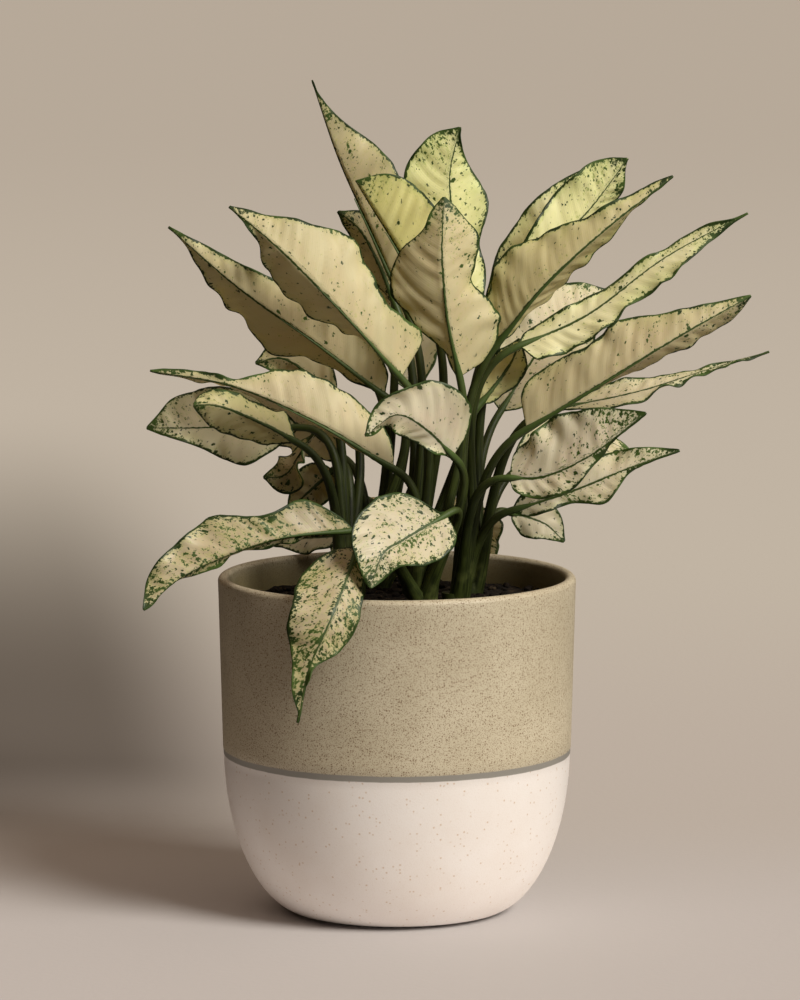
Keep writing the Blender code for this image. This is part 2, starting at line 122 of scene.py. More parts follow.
def joinVector(tree, x, y, z):
    node = addNode(tree, "ShaderNodeCombineXYZ")
    for socket, item in zip(node.inputs, (x, y, z)):
        plug(tree, socket, item)
    return node.outputs[0]


def newGroup(name, inputs, outputs):
    tree = bpy.data.node_groups.new(name, "ShaderNodeTree")
    for label, kind, value in inputs:
        item = tree.interface.new_socket(label, in_out="INPUT", socket_type="NodeSocket" + kind)
        if value is not None:
            item.default_value = value
    for label, kind in outputs:
        tree.interface.new_socket(label, in_out="OUTPUT", socket_type="NodeSocket" + kind)
    return tree, addNode(tree, "NodeGroupInput").outputs, addNode(tree, "NodeGroupOutput").inputs


def useGroup(tree, group, **values):
    node = addNode(tree, "ShaderNodeGroup", node_tree=group)
    for label, value in values.items():
        plug(tree, node.inputs[label], value)
    return node.outputs


def newMaterial(name, roughness, specular=0.5):
    mat = bpy.data.materials.new(name)
    mat.use_nodes = True
    shader = mat.node_tree.nodes["Principled BSDF"]
    shader.inputs["Roughness"].default_value = roughness
    shader.inputs["Specular IOR Level"].default_value = specular
    return mat, mat.node_tree, shader


def bumpInto(tree, shader, height, strength, distance):
    node = addNode(tree, "ShaderNodeBump")
    node.inputs["Strength"].default_value = strength
    node.inputs["Distance"].default_value = distance
    plug(tree, node.inputs["Height"], height)
    plug(tree, shader.inputs["Normal"], node.outputs[0])


# camera, light and floor

studio = dict(
    cameraDistance=3.2, cameraHeight=0.670, aimHeight=0.243, cameraSide=0.0018,
    lens=198.5,
    keySide=48, keyHeight=37, keySoftness=26, keyStrength=4.3, keyColour=(1.0, 0.955, 0.875),
    skyStrength=1.0, skyLeft=(0.004, 0.003, 0.002), skyRight=(0.24, 0.215, 0.18), skyTop=(0.60, 0.455, 0.345),
    floorRadius=16.0, floorNear=(0.442, 0.420, 0.418), floorDip=(0.414, 0.386, 0.366),
    floorMiddle=(0.444, 0.425, 0.391), floorFar=(0.395, 0.372, 0.341),
    shadeEdge=-0.15, shadeSoft=0.18, shadeSlant=0.1, shadeStart=(0.12, 0.50), shadeEnd=(0.75, 2.6),
    shadeTone=(0.25, 0.235, 0.22), bounceReach=(0.14, 0.42), bounceNear=1.8, bounceFar=0.12,
)


def makeCamera(values):
    data = bpy.data.cameras.new("camera")
    data.lens = values["lens"]
    data.sensor_width = 36
    data.clip_end = 60
    camera = bpy.data.objects.new("camera", data)
    bpy.context.scene.collection.objects.link(camera)
    camera.location = (values["cameraSide"], -values["cameraDistance"], values["cameraHeight"])
    drop = math.atan2(values["cameraHeight"] - values["aimHeight"], values["cameraDistance"])
    camera.rotation_euler = (math.pi / 2 - drop, 0, 0)
    bpy.context.scene.camera = camera


def makeLight(values):
    sun = bpy.data.lights.new("keyLight", "SUN")
    sun.energy = values["keyStrength"]
    sun.angle = math.radians(values["keySoftness"])
    sun.color = values["keyColour"]
    key = bpy.data.objects.new("keyLight", sun)
    bpy.context.scene.collection.objects.link(key)
    side, height = math.radians(values["keySide"]), math.radians(values["keyHeight"])
    towards = Vector((math.sin(side) * math.cos(height), -math.cos(side) * math.cos(height), math.sin(height)))
    key.rotation_euler = towards.to_track_quat("Z", "Y").to_euler()
    world = bpy.data.worlds.new("studioAir")
    world.use_nodes = True
    tree = world.node_tree
    back = tree.nodes["Background"]
    # the air is brighter on the key light's side and overhead
    aim = splitVector(tree, addNode(tree, "ShaderNodeTexCoord").outputs["Generated"])
    side = mixColour(tree, fade(tree, aim[0], -0.2, 0.9), values["skyLeft"], values["skyRight"])
    plug(tree, back.inputs["Color"], mixColour(tree, fade(tree, aim[2], 0.35, 0.85), side, values["skyTop"]))
    back.inputs["Strength"].default_value = values["skyStrength"]
    bpy.context.scene.world = world


def floorMaterial(values):
    mat, tree, shader = newMaterial("studioFloor", 0.75, 0.25)
    place = addNode(tree, "ShaderNodeTexCoord").outputs["Object"]
    across, depth, _ = splitVector(tree, place)
    # painted shade: the floor's colour dips darker just behind the pot and darkens again far behind it, standing in
    # for a backdrop that gets less light
    base = mixColour(tree, fade(tree, depth, -0.05, 0.32), values["floorNear"], values["floorDip"])
    base = mixColour(tree, fade(tree, depth, 0.35, 1.5), base, values["floorMiddle"])
    base = mixColour(tree, fade(tree, depth, 1.5, 7.0), base, values["floorFar"])
    # painted shadow: the paper's colour is darkened behind and to the left, where the long shadow of the plant runs
    # on
    slanted = mathNode(tree, "MULTIPLY_ADD", depth, values["shadeSlant"], across)
    edge = mathNode(tree, "SUBTRACT", slanted, values["shadeEdge"])
    shade = fade(tree, edge, 0.0, values["shadeSoft"], 1.0, 0.0)
    shade = mathNode(tree, "MULTIPLY", shade, fade(tree, depth, *values["shadeStart"]))
    shade = mathNode(tree, "MULTIPLY", shade, fade(tree, depth, *values["shadeEnd"], 1.0, 0.0))
    seen = mixColour(tree, shade, base, mixColour(tree, 1.0, base, values["shadeTone"], "MULTIPLY"))
    # painted light: for the light it throws back, the floor's colour is raised near the pot and lowered further off,
    # so the plant gets more bounce near the pot and less further off, and the shaded side stays deep
    direct = addNode(tree, "ShaderNodeLightPath").outputs["Is Camera Ray"]
    away = addNode(tree, "ShaderNodeVectorMath", operation="LENGTH")
    plug(tree, away.inputs[0], place)
    held = mixColour(tree, 1.0, seen, fade(tree, away.outputs["Value"], *values["bounceReach"], values["bounceNear"], values["bounceFar"]), "MULTIPLY")
    plug(tree, shader.inputs["Base Color"], mixColour(tree, direct, held, seen))
    bumpInto(tree, shader, noiseNode(tree, place, 220, 3), 0.12, 0.001)
    return mat


def makeFloor(values):
    def build(bm):
        bmesh.ops.create_circle(bm, cap_ends=True, radius=values["floorRadius"], segments=96)
    floor = addMesh("studioFloor", build, [floorMaterial(values)], smooth=False)


makeCamera(studio)
makeLight(studio)
makeFloor(studio)
bpy.context.scene.view_settings.view_transform = "Standard"
print("camera, light and floor are set")


# the pot

potValues = dict(
    height=0.199, rimRadius=0.105, bandZ=0.0955, bandWidth=0.0036, bandRadius=0.1023, stepIn=0.0005,
    footRadius=0.050, footRound=0.006, bowlPower=1.95, wall=0.0065, floorThickness=0.012, sides=160,
    khaki=(0.43, 0.378, 0.272), khakiDark=(0.13, 0.072, 0.03), khakiPale=(0.53, 0.475, 0.355),
    offWhite=(0.65, 0.615, 0.59), tan=(0.42, 0.27, 0.15), stripe=(0.22, 0.21, 0.185),
    insideTone=(0.22, 0.18, 0.085), flecks=(0.80, 0.90, 0.85, 0.53),
)


def potOuter(z, v=potValues):
    if z >= v["bandZ"]:
        share = (z - v["bandZ"]) / (v["height"] - v["bandZ"])
        return v["bandRadius"] + (v["rimRadius"] - v["bandRadius"]) * share
    drop = (v["bandZ"] - z) / v["bandZ"]
    foot, top = v["footRadius"] + v["footRound"], v["bandRadius"] - v["stepIn"]
    return foot + (top - foot) * (1 - drop ** v["bowlPower"]) ** (1 / v["bowlPower"])


def potInner(z, v=potValues):
    drop = 0.35 * v["wall"]
    return max(potOuter(max(z - drop, drop)) - v["wall"], 0.02)


def potProfile(v):
    lip = v["wall"] / 2
    inside = [(0.0, v["floorThickness"]), (0.03, v["floorThickness"])]
    inside += [(potInner(z), z) for z in
               (v["floorThickness"] + (v["height"] - 0.008 - v["floorThickness"]) * (i / 26) for i in range(27))]
    lipArc = [(v["rimRadius"] - lip + lip * math.cos(a), v["height"] - lip + lip * math.sin(a))
              for a in (math.pi * (1 - i / 14) for i in range(15))]
    top, low = v["bandZ"] + v["bandWidth"] / 2, v["bandZ"] - v["bandWidth"] / 2
    upper = [(potOuter(z), z) for z in (v["height"] - lip - (v["height"] - lip - top) * i / 16 for i in range(1, 16))]
    sunk = 0.0003
    band = [(potOuter(top), top), (potOuter(top) - sunk, top - 0.0005), (potOuter(top) - sunk, low + 0.0005),
            (v["bandRadius"] - v["stepIn"], low)]
    bowl = [(potOuter(z), z) for z in (low * (1 - math.sin(math.pi / 2 * i / 30)) for i in range(1, 30))
            if z > v["footRound"] * 0.3]
    foot = [(v["footRadius"] + 0.002, 0.0008), (v["footRadius"], 0.0), (v["footRadius"] - 0.004, 0.0), (0.0, 0.0)]
    return inside + lipArc + upper + band + bowl + foot


def speckleGroup():
    # flecks of clay in a glaze: two sizes of spot, each kept where its own random draw is high
    tree, inputs, outputs = newGroup(
        "glazeFlecks",
        [("Place", "Vector", None), ("Fleck Size", "Float", 1.0), ("Amount", "Float", 0.3)],
        [("Fine", "Float"), ("Coarse", "Float"), ("Cloud", "Float")])
    for label, perMetre, least in (("Fine", 1250, 0.42), ("Coarse", 620, 1.10)):
        cells = addNode(tree, "ShaderNodeTexVoronoi")
        plug(tree, cells.inputs["Vector"], inputs["Place"])
        plug(tree, cells.inputs["Scale"], mathNode(tree, "DIVIDE", perMetre, inputs["Fleck Size"]))
        draw = splitVector(tree, cells.outputs["Color"])[0]
        floor = mathNode(tree, "SUBTRACT", least + 0.3, inputs["Amount"])
        kept = fade(tree, draw, floor, mathNode(tree, "ADD", floor, 0.05))
        spot = fade(tree, cells.outputs["Distance"], 0.18, 0.42, 1.0, 0.0)
        plug(tree, outputs[label], mathNode(tree, "MULTIPLY", kept, spot))
    plug(tree, outputs["Cloud"], noiseNode(tree, inputs["Place"], 28, 4))
    return tree


def potMaterial(v, flecks):
    mat, tree, shader = newMaterial("potGlaze", 0.5, 0.4)
    place = addNode(tree, "ShaderNodeTexCoord").outputs["Object"]
    x, y, z = splitVector(tree, place)
    radius = mathNode(tree, "SQRT", mathNode(tree, "ADD", mathNode(tree, "POWER", x, 2.0), mathNode(tree, "POWER", y, 2.0)))
    wobble = mathNode(tree, "MULTIPLY", mathNode(tree, "SUBTRACT", noiseNode(tree, place, 60, 3), 0.5), 0.0012)
    level = mathNode(tree, "ADD", z, wobble)
    khakiFlecks = useGroup(tree, flecks, Place=place, **{"Fleck Size": 0.85, "Amount": v["flecks"][0]})
    whiteFlecks = useGroup(tree, flecks, Place=place, **{"Fleck Size": 1.2, "Amount": v["flecks"][3]})
    khaki = mixColour(tree, fade(tree, khakiFlecks["Cloud"], 0.35, 0.7, 0.0, 0.35), v["khaki"], v["khakiPale"])
    khaki = mixColour(tree, mathNode(tree, "MULTIPLY", khakiFlecks["Fine"], v["flecks"][1]), khaki, v["khakiDark"])
    khaki = mixColour(tree, mathNode(tree, "MULTIPLY", khakiFlecks["Coarse"], v["flecks"][2]), khaki, v["khakiDark"])
    white = mixColour(tree, fade(tree, whiteFlecks["Cloud"], 0.35, 0.75, 0.0, 0.10), v["offWhite"], v["tan"])
    white = mixColour(tree, mathNode(tree, "MULTIPLY", whiteFlecks["Fine"], 0.10), white, v["tan"])
    white = mixColour(tree, mathNode(tree, "MULTIPLY", whiteFlecks["Coarse"], 0.62), white, v["tan"])
    top, low = v["bandZ"] + v["bandWidth"] / 2, v["bandZ"] - v["bandWidth"] / 2
    above = fade(tree, level, top - 0.0004, top + 0.0004)
    below = fade(tree, level, low - 0.0003, low + 0.0003, 1.0, 0.0)
    outside = mixColour(tree, above, mixColour(tree, below, v["stripe"], white), khaki)
    inner = fade(tree, mathNode(tree, "SUBTRACT", radius, 0.0985), -0.0006, 0.0006, 1.0, 0.0)
    inner = mathNode(tree, "MULTIPLY", inner, fade(tree, z, v["bandZ"], v["bandZ"] + 0.01))
    inside = mixColour(tree, mathNode(tree, "MULTIPLY", khakiFlecks["Fine"], 0.5), v["insideTone"], v["khakiDark"])
    plug(tree, shader.inputs["Base Color"], mixColour(tree, inner, outside, inside))
    rough = fade(tree, khakiFlecks["Cloud"], 0.3, 0.7, 0.42, 0.58)
    plug(tree, shader.inputs["Roughness"], rough)
    grain = mathNode(tree, "ADD", noiseNode(tree, place, 1100, 3),
                     mathNode(tree, "MULTIPLY", khakiFlecks["Fine"], above))
    bumpInto(tree, shader, grain, 0.25, 0.0003)
    return mat


def makePot(v):
    profile = potProfile(v)

    def build(bm):
        rings = []
        for r, z in profile:
            if r == 0.0:
                rings.append([bm.verts.new((0, 0, z))])
                continue
            ring = []
            for i in range(v["sides"]):
                a = 2 * math.pi * i / v["sides"]
                ring.append(bm.verts.new((r * math.cos(a), r * math.sin(a), z)))
            rings.append(ring)
        for one, two in zip(rings, rings[1:]):
            for i in range(v["sides"]):
                j = (i + 1) % v["sides"]
                corners = [one[i % len(one)], two[i % len(two)], two[j % len(two)], one[j % len(one)]]
                corners = list(dict.fromkeys(corners))
                bm.faces.new(corners)
        bmesh.ops.recalc_face_normals(bm, faces=bm.faces)
    pot = addMesh("pot_glazed", build, [potMaterial(v, speckleGroup())])
    pot.data.set_sharp_from_angle(angle=math.radians(50))
    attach(pot, "root")
    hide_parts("pot")
    return pot


makePot(potValues)
print("pot is turned and glazed")


# the soil

soilValues = dict(
    top=0.182, mound=0.003, gap=0.0008, rings=46, spokes=150, crumb=0.0016, clods=420,
    clodSize=(0.0009, 0.0028), dark=(0.003, 0.002, 0.001), brown=(0.014, 0.008, 0.004), pale=(0.06, 0.04, 0.02),
)


def soilHeight(x, y, v):
    share = math.hypot(x, y) / 0.098
    lumps = noise.noise(Vector((x, y, 0.3)) * 120) + 0.5 * noise.noise(Vector((x, y, 1.7)) * 330)
    return v["top"] + v["mound"] * (1 - share ** 2) + v["crumb"] * (lumps - 0.3)


def soilMaterial(v):
    mat, tree, shader = newMaterial("pottingSoil", 0.92, 0.2)
    place = addNode(tree, "ShaderNodeTexCoord").outputs["Object"]
    tone = fade(tree, noiseNode(tree, place, 260, 5, 0.65), 0.38, 0.68)
    base = mixColour(tree, tone, v["dark"], v["brown"])
    chips = addNode(tree, "ShaderNodeTexVoronoi")
    plug(tree, chips.inputs["Vector"], place)
    plug(tree, chips.inputs["Scale"], 420.0)
    pale = fade(tree, splitVector(tree, chips.outputs["Color"])[1], 0.9, 0.97, 0.0, 0.6)
    plug(tree, shader.inputs["Base Color"], mixColour(tree, pale, base, v["pale"]))
    plug(tree, shader.inputs["Roughness"], fade(tree, tone, 0.0, 1.0, 0.96, 0.8))
    bumpInto(tree, shader, noiseNode(tree, place, 700, 5, 0.7), 0.7, 0.0012)
    return mat


def makeSoil(v):
    wall = potInner(v["top"]) - v["gap"]

    def build(bm):
        centre = bm.verts.new((0, 0, soilHeight(0, 0, v)))
        rings = []
        for k in range(1, v["rings"] + 1):
            r = wall * k / v["rings"]
            ring = []
            for i in range(v["spokes"]):
                a = 2 * math.pi * i / v["spokes"]
                x, y = r * math.cos(a), r * math.sin(a)
                ring.append(bm.verts.new((x, y, soilHeight(x, y, v))))
            rings.append(ring)
        for z in (0.14, 0.0955, 0.06, 0.034, 0.0125):
            r = potInner(z) - v["gap"]
            rings.append([bm.verts.new((r * math.cos(2 * math.pi * i / v["spokes"]),
                                        r * math.sin(2 * math.pi * i / v["spokes"]), z)) for i in range(v["spokes"])])
        for i in range(v["spokes"]):
            j = (i + 1) % v["spokes"]
            bm.faces.new((centre, rings[0][i], rings[0][j]))
            for one, two in zip(rings, rings[1:]):
                bm.faces.new((one[i], two[i], two[j], one[j]))
        bm.faces.new(list(reversed(rings[-1])))
        draw = random.Random(11)
        for n in range(v["clods"]):
            size = draw.uniform(*v["clodSize"])
            a, r = draw.uniform(0, 2 * math.pi), (wall - 0.003) * math.sqrt(draw.random())
            x, y = r * math.cos(a), r * math.sin(a)
            made = bmesh.ops.create_icosphere(bm, subdivisions=2, radius=size)["verts"]
            shift = Vector((x, y, soilHeight(x, y, v) + size * 0.25))
            squash = Vector((draw.uniform(0.8, 1.5), draw.uniform(0.7, 1.1), draw.uniform(0.5, 0.8)))
            spin = Matrix.Rotation(draw.uniform(0, math.pi), 3, "Z")
            for p in made:
                p.co *= 1 + 0.35 * noise.noise(p.co * 900 + Vector((n, 0, 0)))
                p.co = shift + spin @ (p.co * squash)
        bmesh.ops.recalc_face_normals(bm, faces=bm.faces)
    soil = addMesh("soil_crumbly", build, [soilMaterial(v)])
    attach(soil, "root")
    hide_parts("soil")


makeSoil(soilValues)
print("soil is crumbled")


# the leaves: rib points, the way and the width of each half and how it curls, all in mm

leaves = {
    "leaf_01": dict(
        shoot="shoot_middle", rib=[(3, 26, 358), (-14, 32, 396), (-34, 38, 440), (-50, 42, 486)],
        right=(4, 20, 2), left=(24, -8, 12), curl=(20, 25), wave=(2.5, 2.5, 0.1),
        widths=((4, 8, 10, 9, 7, 4, 2), (8, 20, 27, 28.5, 22.5, 8, 1.5))),
    "leaf_02": dict(
        shoot="shoot_middle", rib=[(16, -4, 360), (2, 0, 388), (-13, 4, 412), (-24, 2, 430)],
        right=(10, 20, 2), left=(28, -6, 14), curl=(20, 15), wave=(1.5, 2, 0.6),
        widths=((3, 8, 12, 14, 13, 9, 4), (10, 24, 30, 31, 28, 22, 14))),
    "leaf_03": dict(
        shoot="shoot_middle", rib=[(46, 28, 352), (36, 32, 390), (31, 36, 428), (37, 36, 459)],
        right=(19, 6, 0), left=(-34, 4, 0), curl=(10, 10), wave=(3, 2, 0.3),
        widths=((6, 12.5, 13.5, 22, 17, 7, 1.5), (8, 16, 22, 24, 27, 20, 12))),
    "leaf_04": dict(
        shoot="shoot_middle", rib=[(-2, 46, 356), (-11, 50, 378), (-22, 55, 397), (-35, 52, 408)],
        right=(-8, 4, -6), left=(11, 4, 9), curl=(20, 20), wave=(2, 2, 0.2)),
    "leaf_05": dict(
        shoot="shoot_front", rib=[(36, -44, 321), (29, -50, 355), (26, -50, 391), (27, -42, 424)],
        right=(-29, 12, 0), left=(27, 8, 0), curl=(15, 20), wave=(2, 1.5, 0.2),
        widths=((4, 9, 22.5, 34, 32, 12, 6), (18, 29, 31, 21, 22, 21, 9))),
    "leaf_06": dict(
        shoot="shoot_front", rib=[(2, -52, 321), (-26, -62, 354), (-65, -62, 394), (-96, -50, 419)],
        right=(-13, 12, -15), left=(24, 8, 23), curl=(15, 20), wave=(2, 2, 0.1),
        widths=((8, 14, 14, 24, 20, 3.5, 1), (26, 25.5, 24, 36, 23, 11.5, 5)), fold=(75, 0)),
    "leaf_07": dict(
        shoot="shoot_left", rib=[(-8, -8, 306), (-46, -12, 336), (-90, -8, 367), (-133, 2, 403)],
        right=(-4, 10, -15), left=(14, -4, 24), curl=(20, 15), wave=(2.5, 3, 0.4),
        widths=((2, 8, 18, 29, 21, 9, 2), (12, 20, 24, 20, 14, 8, 3))),
    "leaf_08": dict(
        shoot="shoot_left", rib=[(-38, 40, 300), (-52, 46, 312), (-68, 50, 321), (-84, 52, 318)],
        right=(-3, 4, -14), left=(3, 4, 14), curl=(10, 10), wave=(1, 2, 0.2)),
    "leaf_09": dict(
        shoot="shoot_front", rib=[(-3, -46, 268), (-45, -56, 295), (-93, -56, 316), (-142, -46, 324)],
        right=(-4, 20, -8), left=(10, 2, 24), curl=(20, 35), wave=(1.5, 2.5, 0.5),
        widths=((6, 12, 15, 14, 12, 7, 3), (12, 23, 25, 22.5, 5, 4.5, 3))),
    "leaf_10": dict(
        shoot="shoot_left", rib=[(-59, 15, 284), (-89, 22, 284), (-119, 30, 282), (-148, 36, 281)],
        right=(2, 6, 23), left=(0, -4, -20), curl=(10, 10), wave=(2, 2, 0.3),
        widths=((6, 15, 22, 24, 22.5, 17.5, 6.5), (6, 15.5, 23, 17.5, 11, 6, 2.5))),
    "leaf_11": dict(
        shoot="shoot_left", rib=[(-60, -16, 280), (-77, -20, 290), (-102, -26, 301), (-118, -26, 302)],
        right=(-3, 4, -14), left=(5, 8, 14), curl=(20, 20), wave=(1, 2, 0.1),
        widths=((4, 10, 14, 15.5, 15, 12, 6), (5, 13, 13, 11.5, 10, 10, 7))),
    "leaf_12": dict(
        shoot="shoot_left", rib=[(-46, 22, 282), (-55, 26, 268), (-66, 30, 254), (-79, 34, 252)],
        right=(-8, 2, -12), left=(8, 2, 14), curl=(10, 10), wave=(1, 2, 0.2)),
    "leaf_13": dict(
        shoot="shoot_left", rib=[(-38, 34, 256), (-46, 42, 248), (-56, 50, 238), (-65, 56, 228)],
        right=(8, 2, -9), left=(-9, 2, 10), curl=(10, 10), wave=(1, 2, 0.4)),
    "leaf_14": dict(
        shoot="shoot_left", rib=[(-26, -44, 231), (-73, -60, 227), (-120, -72, 210), (-145, -80, 190)],
        right=(3, 10, 18), left=(-2, 8, -5), curl=(10, 10), wave=(2, 3, 0.2),
        widths=((9, 20.5, 15.5, 25, 18, 13, 6), (3, 5, 6, 6, 5, 3, 1.5))),
    "leaf_15": dict(
        shoot="shoot_back", rib=[(-28, 60, 214), (-44, 72, 211), (-62, 84, 208), (-80, 92, 205)],
        right=(3, 6, 10), left=(-3, -6, -8), curl=(10, 10), wave=(1, 2, 0.4)),
    "leaf_16": dict(
        shoot="shoot_front", rib=[(-22, -92, 228), (-36, -124, 195), (-49.5, -130, 164), (-56, -128, 133)],
        right=(-22, 6, 2), left=(13, 8, -6), curl=(10, 10), wave=(2.5, 2.5, 0.3),
        widths=((13, 25.5, 25, 20.5, 10.5, 6, 1), (8, 12, 16, 15, 1.5, 1.5, 1))),
    "leaf_17": dict(
        shoot="shoot_front", rib=[(28, -72, 244), (4, -94, 233), (-8, -106, 226), (-15, -114, 208)],
        right=(-12, 8, 25), left=(16, -4, -14), curl=(15, 15), wave=(1.5, 1.5, 0.1),
        widths=((4, 22, 28, 27, 24, 12, 5), (14, 21, 20.5, 18, 14, 8, 3.5))),
    "leaf_18": dict(
        shoot="shoot_front", rib=[(32, -64, 277), (17, -80, 294), (0, -92, 304), (-18, -100, 293)],
        right=(19, 8, 21), left=(-8, 4, -8), curl=(15, 20), wave=(2.5, 2.5, 0.6),
        widths=((14, 26, 29, 25, 17, 9, 5), (3, 8, 11, 12, 11, 8, 4))),
    "leaf_19": dict(
        shoot="shoot_right", rib=[(60, -34, 341), (85, -42, 373), (121, -40, 406), (159, -30, 435)],
        right=(-17, 8, 25), left=(8, 18, -8), curl=(20, 15), wave=(1.5, 2, 0.4),
        widths=((16, 27, 31, 21.5, 12, 7, 4), (6, 13, 25, 16, 13, 3, 1))),
    "leaf_20": dict(
        shoot="shoot_far_right", rib=[(70, 30, 352), (94, 36, 388), (116, 42, 413), (136, 44, 440)],
        right=(10, 16, -8), left=(-16, -2, 15), curl=(10, 10), wave=(2.5, 2.5, 0.1),
        widths=((5, 13, 19, 20, 18, 12, 5), (8, 16, 21, 22, 22, 18, 9))),
    "leaf_21": dict(
        shoot="shoot_far_right", rib=[(72, 0, 334), (112, 4, 352), (156, 10, 384), (205, 16, 410)],
        right=(4, -8, -13), left=(-5, 10, 8), curl=(20, 20), wave=(3, 3, 0.2),
        widths=((14, 15, 17, 11.5, 14.5, 4.5, 1.5), (7, 10.5, 11, 8, 6, 6.5, 1))),
    "leaf_22": dict(
        shoot="shoot_right", rib=[(75, -52, 291), (120, -62, 320), (162, -62, 346), (203, -52, 368)],
        right=(-9, 6, 19), left=(4, 12, -14), curl=(15, 15), wave=(1.5, 2, 0.3),
        widths=((20, 27, 24, 27, 16.5, 8.5, 4), (8, 15, 18, 16, 13, 16, 9)), fold=(0, 55), unfold=0.75),
    "leaf_23": dict(
        shoot="shoot_far_right", rib=[(95, -5, 298), (140, -2, 307), (178, 5, 318), (218, 12, 329)],
        right=(1, -12, -6), left=(-2, 14, 5), curl=(15, 15), wave=(1.5, 2.5, 0.2),
        widths=((6, 12, 11, 5, 3, 3, 1), (6, 13, 13, 10, 4, 3, 1))),
    "leaf_24": dict(
        shoot="shoot_right", rib=[(65, -62, 264), (85, -70, 266), (112, -78, 280), (142, -82, 304)],
        right=(4, -4, -13), left=(-12, 10, 28), curl=(10, 15), wave=(2.5, 2.5, 0.1),
        widths=((7, 10.5, 12.5, 13, 3.5, 1, 1), (14, 22, 26, 29, 28, 20, 8))),
    "leaf_25": dict(
        shoot="shoot_right", rib=[(68, -35, 242), (100, -40, 253), (133, -44, 267), (163, -46, 278)],
        right=(4, -4, -13), left=(-4, 8, 14), curl=(10, 10), wave=(2.5, 3, 0.6),
        widths=((5, 8, 6, 15, 3, 1, 1), (6, 13, 16, 14, 12, 8, 3.5))),
    "leaf_26": dict(
        shoot="shoot_far_right", rib=[(68, 24, 232), (78, 26, 229), (89, 28, 224), (99, 30, 214)],
        right=(-4, 0, -11), left=(5, 2, 12), curl=(10, 10), wave=(1, 2, 0.2)),
    "leaf_27": dict(
        shoot="shoot_far_right", rib=[(50, 10, 300), (60, 14, 312), (68, 18, 324), (72, 20, 336)],
        right=(-10, 4, 6), left=(8, 4, -6), curl=(10, 10), wave=(1, 2, 0.3)),
    "leaf_28": dict(
        shoot="shoot_back", rib=[(-16, 58, 310), (-36, 76, 342), (-58, 92, 362), (-76, 104, 370)],
        right=(14, 10, 16), left=(-14, -10, -14), curl=(15, 15), wave=(2, 2.5, 0.3)),
    "leaf_29": dict(
        shoot="shoot_back", rib=[(8, 66, 300), (8, 92, 338), (8, 118, 368), (8, 142, 384)],
        right=(24, -4, 4), left=(-24, -4, 4), curl=(15, 15), wave=(2, 2.5, 0.1)),
    "leaf_30": dict(
        shoot="shoot_far_right", rib=[(62, 52, 290), (84, 74, 322), (106, 94, 346), (128, 108, 356)],
        right=(16, -14, -14), left=(-14, 14, 16), curl=(15, 15), wave=(2, 2.5, 0.6)),
    "leaf_31": dict(
        shoot="shoot_back", rib=[(-34, 62, 262), (-60, 84, 278), (-86, 104, 282), (-108, 118, 276)],
        right=(12, -14, 12), left=(-10, 14, -10), curl=(10, 10), wave=(2, 3, 0.2)),
    "leaf_32": dict(
        shoot="shoot_back", rib=[(16, 78, 262), (22, 108, 282), (26, 138, 284), (28, 166, 270)],
        right=(22, -4, -2), left=(-22, 2, 4), curl=(10, 10), wave=(2, 2.5, 0.4)),
    "leaf_33": dict(
        shoot="shoot_far_right", rib=[(74, 50, 256), (98, 70, 268), (122, 88, 268), (142, 100, 258)],
        right=(10, -16, -10), left=(-10, 16, 12), curl=(10, 10), wave=(2, 2.5, 0.5)),
    "leaf_34": dict(
        shoot="shoot_back", rib=[(-2, 54, 340), (-4, 66, 374), (-8, 78, 400), (-14, 88, 420)],
        right=(20, 6, 6), left=(-16, 6, -4), curl=(15, 15), wave=(2, 2, 0.3)),
    "leaf_35": dict(
        shoot="shoot_far_right", rib=[(56, 50, 334), (74, 62, 370), (96, 74, 406), (122, 82, 436)],
        right=(14, 6, -8), left=(-16, 6, 7), curl=(15, 15), wave=(2, 2, 0.5)),
    "leaf_36": dict(
        shoot="shoot_back", rib=[(38, 78, 228), (46, 104, 226), (52, 124, 208), (56, 136, 178)],
        right=(-14, 8, 4), left=(14, -8, -2), curl=(10, 10), wave=(2, 2.5, 0.2)),
    "leaf_37": dict(
        shoot="shoot_back", rib=[(-14, 84, 230), (-22, 114, 228), (-28, 136, 206), (-34, 146, 172)],
        right=(-18, -4, -4), left=(18, 2, 0), curl=(10, 10), wave=(2, 2.5, 0.6)),
}

shoots = dict(shoot_left=(-27, 2), shoot_front=(15, -34), shoot_right=(33, -24),
              shoot_middle=(10, 12), shoot_far_right=(42, 18), shoot_back=(-12, 48))

# how young and yellow a blade is, how densely it is flecked, and how much painted shade darkens it toward tan
looks = dict(
    leaf_01=(0.15, 0.65, 0.2), leaf_02=(0.85, 0.45, 0.0), leaf_03=(0.90, 0.50, 0.0), leaf_04=(0.10, 0.75, 0.3),
    leaf_05=(0.15, 0.50, 0.2), leaf_06=(0.15, 0.40, 0.1), leaf_07=(0.10, 0.40, 0.1), leaf_08=(0.10, 0.50, 0.4),
    leaf_09=(0.00, 0.45, 0.1), leaf_10=(0.20, 0.50, 0.0), leaf_11=(0.35, 0.55, 0.1), leaf_12=(0.10, 0.55, 0.5),
    leaf_13=(0.10, 0.55, 0.5), leaf_14=(0.05, 0.85, 1.0), leaf_16=(0.00, 1.05, 1.0), leaf_17=(0.00, 0.88, 0.5),
    leaf_18=(0.00, 0.40, 0.0), leaf_19=(0.40, 0.35, 0.35), leaf_20=(0.80, 0.50, 0.0), leaf_21=(0.50, 0.45, 0.1),
    leaf_22=(0.08, 0.50, 0.3), leaf_23=(0.05, 0.60, 0.1), leaf_24=(0.00, 0.70, 0.0), leaf_25=(0.00, 0.65, 0.0),
    leaf_26=(0.00, 0.45, 0.2), leaf_27=(0.60, 0.30, 0.2), leaf_35=(0.60, 0.55, 0.1),
)


